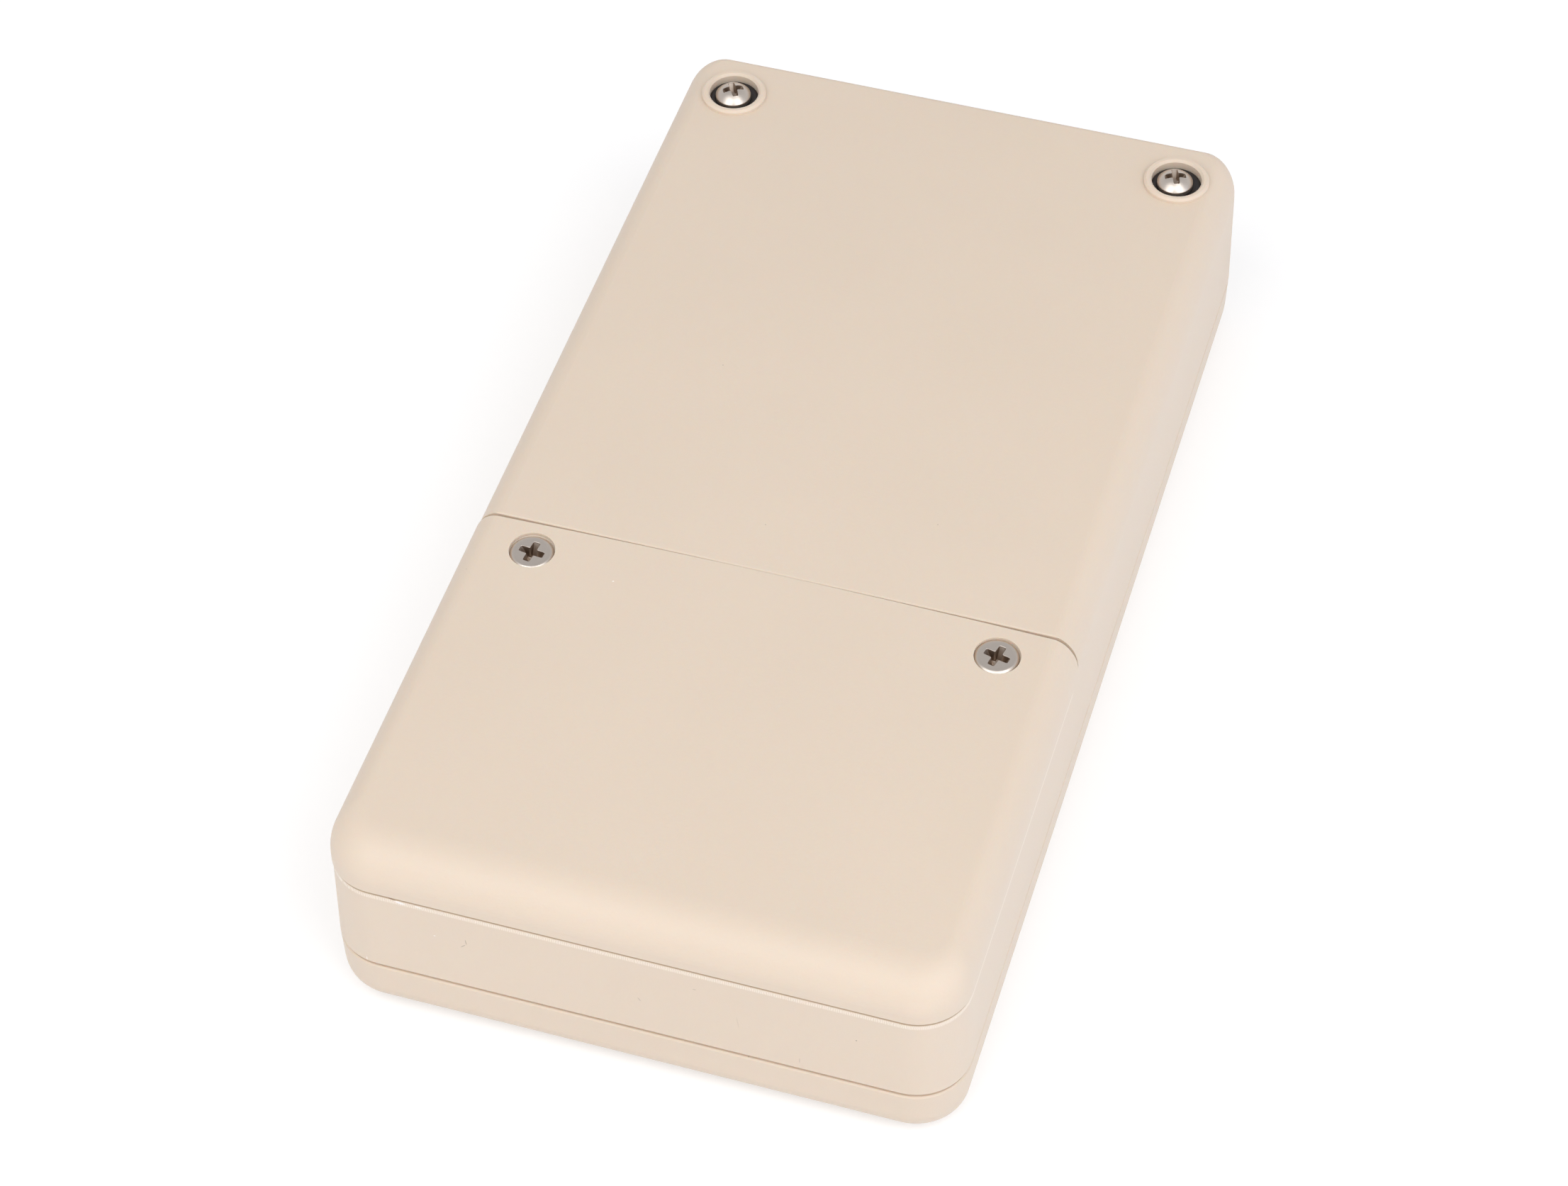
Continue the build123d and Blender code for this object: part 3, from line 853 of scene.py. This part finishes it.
@dataclass
class Screw(Turned):
    """A cross-recessed screw. Its angles count from the recess's first arm."""

    turn: float
    recess: CrossRecess
    thread: Thread
    points: int = 160
    edge: float = 0.08 * MM
    tip_bevel: float = 0.35 * MM
    crease: float = 38.0
    wall_shares: tuple[float, ...] = (0.8, 0.6, 0.4, 0.22, 0.08, 0)
    brim_turns: tuple[float, ...] = (30, 60)
    top_shares: tuple[float, ...] = (0, 0.12, 0.35, 0.7, 1)

    def surface(self, radius: float) -> float:
        """Gives the height of the head's top at a distance from the axis."""
        raise NotImplementedError

    def rim(self) -> list[tuple[float, float]]:
        """Gives the radius and height of the rings from the head's edge to the shank."""
        raise NotImplementedError

    def at(self, angle: float, reach: float, height: float) -> Vector:
        """Gives a point on the screw."""
        return super().at(angle + radians(self.turn), reach, height)

    def recess_ring(self, share: float) -> list[Vector]:
        """Gives one ring of the recess's wall.

        Args:
            share: The share of the recess's depth, 0 at the top.

        Returns:
            The ring's points.
        """
        foot = self.top - self.recess.depth
        points = []
        for angle in self.angles(self.points):
            brim = self.surface(self.recess.reach(angle, 0)) - self.edge
            points.append(
                self.at(angle, self.recess.reach(angle, share), brim + (foot - brim) * share)
            )
        return points

    def brim_ring(self, turn: float) -> list[Vector]:
        """Gives one ring of the recess's rounded brim.

        Args:
            turn: How far the brim has turned over, from 0 at the wall to 90 degrees at the top.

        Returns:
            The ring's points.
        """
        points = []
        for angle in self.angles(self.points):
            reach = self.recess.reach(angle, 0)
            radius = reach + self.edge * (1 - cos(radians(turn)))
            height = self.surface(reach) - self.edge * (1 - sin(radians(turn)))
            points.append(self.at(angle, radius, height))
        return points

    def top_ring(self, share: float) -> list[Vector]:
        """Gives one ring of the head's top.

        Args:
            share: The share of the way from the recess, at 0, to the head's edge, at 1.

        Returns:
            The ring's points.
        """
        edge_radius = self.rim()[0][0]
        points = []
        for angle in self.angles(self.points):
            inner = self.recess.reach(angle, 0) + self.edge
            radius = inner + (edge_radius - inner) * share
            points.append(self.at(angle, radius, self.surface(radius)))
        return points

    def thread_rings(self, start: float) -> list[list[Vector]]:
        """Gives the rings of the threaded shank, down to its tip.

        Args:
            start: The height at which the thread starts.

        Returns:
            The points of each ring.
        """
        angles = self.angles(self.thread.points)
        end = self.bottom + self.tip_bevel
        count = ceil((start - end) / self.thread.pitch * self.thread.steps)
        rings = []
        for step in range(count + 1):
            drop = (start - end) * step / count
            fade = min(1.0, drop / self.thread.pitch)
            rings.append(
                [self.at(a, self.thread.radius_at(a, drop, fade), start - drop) for a in angles]
            )
        tip = self.thread.radius - self.thread.depth_share * self.thread.pitch - self.tip_bevel / 2
        rings.append([self.at(angle, tip, self.bottom) for angle in angles])
        return rings

    def build(self, palette: Palette) -> bpy.types.Object:
        """Builds the screw and dresses it.

        Args:
            palette: The finishes.

        Returns:
            The screw.
        """
        skin = Skin()
        last = skin.ring(self.recess_ring(1))
        skin.cap(last, self.at(0, 0, self.top - self.recess.depth - self.recess.width / 4))
        for share in self.wall_shares:
            last = skin.join(last, skin.ring(self.recess_ring(share)))
        for turn in self.brim_turns:
            last = skin.join(last, skin.ring(self.brim_ring(turn)))
        for share in self.top_shares:
            last = skin.join(last, skin.ring(self.top_ring(share)))
        for radius, height in self.rim()[1:]:
            points = [self.at(angle, radius, height) for angle in self.angles(self.points)]
            last = skin.join(last, skin.ring(points))
        for points in self.thread_rings(self.rim()[-1][1] - self.thread.pitch):
            last = skin.join(last, skin.ring(points))
        skin.cap(last, self.at(0, 0, self.bottom))
        return self.complete(skin, "threaded", self.crease, Finish.SCREW, palette)


@dataclass
class PanScrew(Screw):
    """Case screw: a low domed head with a short upright side."""

    dome: float = 1.25 * MM
    side: float = 0.7 * MM
    seat_round: float = 0.12 * MM
    brink: float = 0.03 * MM
    brink_shares: tuple[float, ...] = (0.96, 0.985, 0.997)

    def surface(self, radius: float) -> float:
        """Gives the dome's height at a distance from the axis."""
        sphere = (self.radius**2 + self.dome**2) / (2 * self.dome)
        return self.top - sphere + sqrt(max(sphere**2 - radius**2, 0))

    def rim(self) -> list[tuple[float, float]]:
        """Gives the rings of the dome's lower edge, the side and the underside.

        Returns:
            The radius and height of each ring.
        """
        wide = self.radius
        seat = self.top - self.dome - self.side
        return [
            *((share * wide, self.surface(share * wide)) for share in self.brink_shares),
            (wide, self.surface(wide) - self.brink),
            (wide, seat + self.seat_round),
            (wide - self.seat_round, seat),
            (self.thread.radius, seat),
        ]


@dataclass
class FlatScrew(Screw):
    """Door screw: a flat countersunk head with a slightly crowned chamfer round its rim."""

    bevel_width: float = 0.38 * MM
    bevel_drop: float = 0.26 * MM
    rim_height: float = 0.11 * MM
    bevel_steps: int = 4
    crown: float = 0.014 * MM

    def surface(self, radius: float) -> float:
        """Gives the height of the flat top."""
        return self.top

    def rim(self) -> list[tuple[float, float]]:
        """Gives the rings of the bevel, the rim and the countersunk cone.

        Returns:
            The radius and height of each ring.
        """
        rings = []
        for step in range(self.bevel_steps + 1):
            share = step / self.bevel_steps
            rise = self.crown * 4 * share * (1 - share)
            inset = self.bevel_width * (1 - share) - rise
            rings.append((self.radius - inset, self.top - self.bevel_drop * share + rise))
        cone_top = self.top - self.bevel_drop - self.rim_height
        rings.append((self.radius, cone_top))
        rings.append((self.thread.radius, cone_top - self.radius + self.thread.radius))
        return rings


@dataclass
class SealWasher(Turned):
    """Rubber washer pressed into its well: it swells up round the screw's head."""

    bore: float = 1.5 * MM
    head_radius: float = 2.68 * MM
    swell: float = 0.13 * MM
    swell_steps: int = 6
    edge: float = 0.12 * MM
    points: int = 64
    crease: float = 50.0

    def build(self, palette: Palette) -> bpy.types.Object:
        """Builds the washer and dresses it.

        Args:
            palette: The finishes.

        Returns:
            The washer.
        """
        crest = (self.head_radius + self.radius) / 2
        half = self.radius - crest
        profile = [
            (self.bore, self.top),
            (self.bore, self.bottom),
            (self.radius, self.bottom),
            (self.radius, self.top - self.edge),
        ]
        for step in range(self.swell_steps + 1):
            share = 1 - 2 * step / self.swell_steps
            profile.append((crest + half * share, self.top + self.swell * sqrt(1 - share**2)))
        skin = Skin()
        angles = self.angles(self.points)
        skin.loop([[self.at(angle, reach, height) for angle in angles] for reach, height in profile])
        return self.complete(skin, "pressed", self.crease, Finish.SEAL, palette)


@dataclass
class HexInsert(Turned):
    """Hexagonal brass insert with chamfered ends and a tapped bore."""

    thread: Thread
    chamfer: float = 0.2 * MM
    groove_share: float = 0.45
    points: int = 48
    crease: float = 35.0

    def side(self, angle: float) -> float:
        """Gives the distance to the hexagon's side at an angle."""
        return self.radius * cos(pi / 6) / cos(angle % (pi / 3) - pi / 6)

    def bore(self, angle: float, drop: float) -> float:
        """Gives the distance to the tapped bore at an angle and a distance below its start."""
        turns = drop / self.thread.pitch - angle / (2 * pi)
        return self.thread.radius + self.groove_share * self.thread.pitch * self.thread.height_at(turns)

    def build(self, palette: Palette) -> bpy.types.Object:
        """Builds the insert and dresses it.

        Args:
            palette: The finishes.

        Returns:
            The insert.
        """
        angles = self.angles(self.points)
        mouth = [self.thread.radius + self.thread.pitch / 2] * self.points
        sides = [self.side(angle) for angle in angles]
        ends = [side - self.chamfer for side in sides]
        rings = [
            (mouth, self.bottom),
            (ends, self.bottom),
            (sides, self.bottom + self.chamfer),
            (sides, self.top - self.chamfer),
            (ends, self.top),
            (mouth, self.top),
        ]
        start, foot = self.top - self.thread.pitch / 2, self.bottom + self.thread.pitch / 2
        count = ceil((start - foot) / self.thread.pitch * self.thread.steps)
        for step in range(count + 1):
            drop = (start - foot) * step / count
            rings.append(([self.bore(angle, drop) for angle in angles], start - drop))
        skin = Skin()
        skin.loop(
            [
                [self.at(angle, reach, height) for angle, reach in zip(angles, reaches)]
                for reaches, height in rings
            ]
        )
        return self.complete(skin, "tapped", self.crease, Finish.INSERT, palette)


@dataclass
class Fasteners:
    """The screws, seal washers and inserts that hold the case and its door."""

    pan_recess: CrossRecess = CrossRecess(span=2.85 * MM, width=0.85 * MM, depth=1.5 * MM)
    flat_recess: CrossRecess = CrossRecess(span=3.3 * MM, width=0.95 * MM, depth=1.7 * MM)
    case_thread: Thread = Thread(radius=1.25 * MM, pitch=0.45 * MM)
    door_thread: Thread = Thread(radius=1.5 * MM, pitch=0.5 * MM)
    thread_clearance: float = 0.03 * MM
    case_turns: dict[str, float] = field(
        default_factory=lambda: {
            "far_left": 31.0,
            "far_right": 20.0,
            "near_left": 10.0,
            "near_right": 55.0,
        }
    )
    door_turns: dict[str, float] = field(default_factory=lambda: {"left": -7.0, "right": -13.0})

    def build(self, palette: Palette) -> None:
        """Builds every fastener.

        Args:
            palette: The finishes.
        """
        case_bore = Thread(self.case_thread.radius + self.thread_clearance, self.case_thread.pitch)
        door_bore = Thread(self.door_thread.radius + self.thread_clearance, self.door_thread.pitch)
        for place, turn in self.case_turns.items():
            PanScrew(f"{place}_case_screw", turn, self.pan_recess, self.case_thread).build(palette)
            SealWasher(f"{place}_seal_washer").build(palette)
            HexInsert(f"{place}_case_insert", case_bore).build(palette)
        for side, turn in self.door_turns.items():
            FlatScrew(f"{side}_door_screw", turn, self.flat_recess, self.door_thread).build(palette)
            HexInsert(f"{side}_door_insert", door_bore).build(palette)


@dataclass
class Case:
    """The moulded shells, door, gasket and contacts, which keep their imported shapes."""

    finishes: dict[str, Finish] = field(
        default_factory=lambda: {
            "front_shell": Finish.SHELL,
            "rear_shell": Finish.SHELL,
            "battery_door": Finish.SHELL,
            "case_gasket": Finish.SEAL,
            "left_bridge_contact": Finish.CONTACT,
            "positive_contact": Finish.CONTACT,
            "negative_contact": Finish.CONTACT,
            "right_bridge_contact": Finish.CONTACT,
        }
    )

    def build(self, palette: Palette) -> None:
        """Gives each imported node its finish.

        Args:
            palette: The finishes.
        """
        for node, finish in self.finishes.items():
            palette.dress(frame["nodes"][node], finish)
            LOG.info("%s: %s", node, finish.value)


@dataclass
class Studio:
    """Camera at the photo's angle, soft boxes beside it, a low fill, pale floor and surroundings."""

    target: Vector = field(default_factory=lambda: Vector((2.256, -20.913, 30.0)) * MM)
    azimuth: float = 17.456
    elevation: float = 48.624
    roll: float = -0.685
    distance: float = 485.1 * MM
    lamp_distance: float = 0.9
    lamp_spread: float = 42.0
    lamp_elevation: float = 50.0
    lamp_width: float = 0.64
    lamp_height: float = 0.69
    lamp_watts: float = 2.84
    fill_azimuth: float = 84.0
    fill_elevation: float = 14.0
    fill_size: float = 0.5
    fill_watts: float = 0.85
    fill_colour: str = "cfe0ff"
    clip_start: float = 0.01
    sky_colour: str = "fdfdff"
    sky_heights: tuple[float, float] = (0.15, 0.9)
    sky_levels: tuple[float, float] = (0.75, 0.5)
    floor_half: float = 3.0
    floor_bounce: str = "e8e8ea"
    floor_seen: str = "e0e0e0"
    floor_lift: float = 0.36

    def direction(self, azimuth: float, elevation: float) -> Vector:
        """Gives the direction from the target, with azimuth 0 at the near end."""
        turn, lift = radians(azimuth), radians(elevation)
        return Vector((sin(turn) * cos(lift), -cos(turn) * cos(lift), sin(lift)))

    def build(self) -> None:
        """Places the camera, lamps, surroundings and floor."""
        self.add_camera()
        for side, name in ((-1, "left_soft_box"), (1, "right_soft_box")):
            azimuth = self.azimuth + side * self.lamp_spread
            lamp = self.add_lamp(name, azimuth, self.lamp_elevation, self.lamp_watts)
            lamp.size, lamp.size_y = self.lamp_width, self.lamp_height
        fill = self.add_lamp("low_fill", self.fill_azimuth, self.fill_elevation, self.fill_watts)
        fill.size = fill.size_y = self.fill_size
        fill.color = linear(self.fill_colour)[:3]
        self.add_world()
        self.add_floor()

    def add_camera(self) -> None:
        """Adds the camera with the focal length that the photo has."""
        data = bpy.data.cameras.new("photo_camera")
        data.sensor_fit = "HORIZONTAL"
        data.sensor_width = SENSOR_WIDTH
        data.lens = PHOTO_FOCAL * SENSOR_WIDTH / PHOTO_WIDTH
        data.clip_start = self.clip_start
        camera = bpy.data.objects.new("photo_camera", data)
        bpy.context.scene.collection.objects.link(camera)
        back = self.direction(self.azimuth, self.elevation)
        turn = back.to_track_quat("Z", "Y").to_matrix().to_4x4()
        roll = Matrix.Rotation(radians(self.roll), 4, "Z")
        camera.matrix_world = Matrix.Translation(self.target + back * self.distance) @ turn @ roll
        bpy.context.scene.camera = camera

    def add_lamp(self, name: str, azimuth: float, elevation: float, watts: float) -> bpy.types.AreaLight:
        """Adds one soft box that faces the object.

        Args:
            name: The lamp's name.
            azimuth: Its direction in degrees, with 0 at the near end.
            elevation: Its height above the floor in degrees.
            watts: Its power.

        Returns:
            The light, ready to take its size and colour.
        """
        data = bpy.data.lights.new(name, "AREA")
        data.shape = "RECTANGLE"
        data.energy = watts
        lamp = bpy.data.objects.new(name, data)
        bpy.context.scene.collection.objects.link(lamp)
        back = self.direction(azimuth, elevation)
        turn = back.to_track_quat("Z", "Y").to_matrix().to_4x4()
        lamp.matrix_world = Matrix.Translation(self.target + back * self.lamp_distance) @ turn
        return data

    def add_world(self) -> None:
        """Makes surroundings that are white at the horizon and greyer overhead."""
        world = bpy.data.worlds.new("studio_surroundings")
        bpy.context.scene.world = world
        world.use_nodes = True
        tree = world.node_tree
        tree.nodes.clear()
        way = add_node(tree, "TexCoord").outputs["Generated"]
        height = add_node(tree, "SeparateXYZ", {"Vector": way}).outputs["Z"]
        level = add_node(
            tree,
            "MapRange",
            {
                "Value": height,
                "From Min": self.sky_heights[0],
                "From Max": self.sky_heights[1],
                "To Min": self.sky_levels[0],
                "To Max": self.sky_levels[1],
            },
        ).outputs["Result"]
        light = add_node(tree, "Background", {"Color": linear(self.sky_colour), "Strength": level})
        add_node(tree, "OutputWorld", {"Surface": light.outputs[0]})

    def add_floor(self) -> None:
        """Adds the pale floor, which shows white to the camera and keeps the shadow."""
        half = self.floor_half
        mesh = bpy.data.meshes.new("floor")
        corners = [(-half, -half, 0), (half, -half, 0), (half, half, 0), (-half, half, 0)]
        mesh.from_pydata(corners, [], [(0, 1, 2, 3)])
        floor = bpy.data.objects.new("floor", mesh)
        bpy.context.scene.collection.objects.link(floor)
        material, tree = new_tree("white_paper_floor")
        plain = add_node(tree, "BsdfDiffuse", {"Color": linear(self.floor_bounce)})
        seen = add_node(tree, "BsdfDiffuse", {"Color": linear(self.floor_seen)})
        lift = add_node(tree, "Emission", {"Color": linear("ffffff"), "Strength": self.floor_lift})
        both = add_node(tree, "AddShader", {0: seen.outputs[0], 1: lift.outputs[0]})
        path = add_node(tree, "LightPath")
        first = add_node(
            tree,
            "Math",
            {0: path.outputs["Is Camera Ray"], 1: path.outputs["Is Glossy Ray"]},
            operation="MAXIMUM",
        )
        any_of = add_node(
            tree,
            "Math",
            {0: first.outputs[0], 1: path.outputs["Is Transmission Ray"]},
            operation="MAXIMUM",
        )
        mixed = add_node(
            tree, "MixShader", {0: any_of.outputs[0], 1: plain.outputs[0], 2: both.outputs[0]}
        )
        finish_tree(tree, mixed.outputs[0])
        mesh.materials.append(material)
        floor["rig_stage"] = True


def main() -> None:
    """Builds the studio, then the case and its fasteners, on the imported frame."""
    logging.basicConfig(level=logging.INFO, format="%(name)s: %(message)s")
    packed_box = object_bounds()
    bpy.context.scene.view_settings.view_transform = "Standard"
    Studio().build()
    palette = Palette()
    palette.build()
    Case().build(palette)
    Fasteners().build(palette)
    boxes = {"cad": packed_box, "visual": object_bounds()}
    {name: [list(corner) for corner in box] for name, box in boxes.items()}


if __name__ == "__main__":
    main()
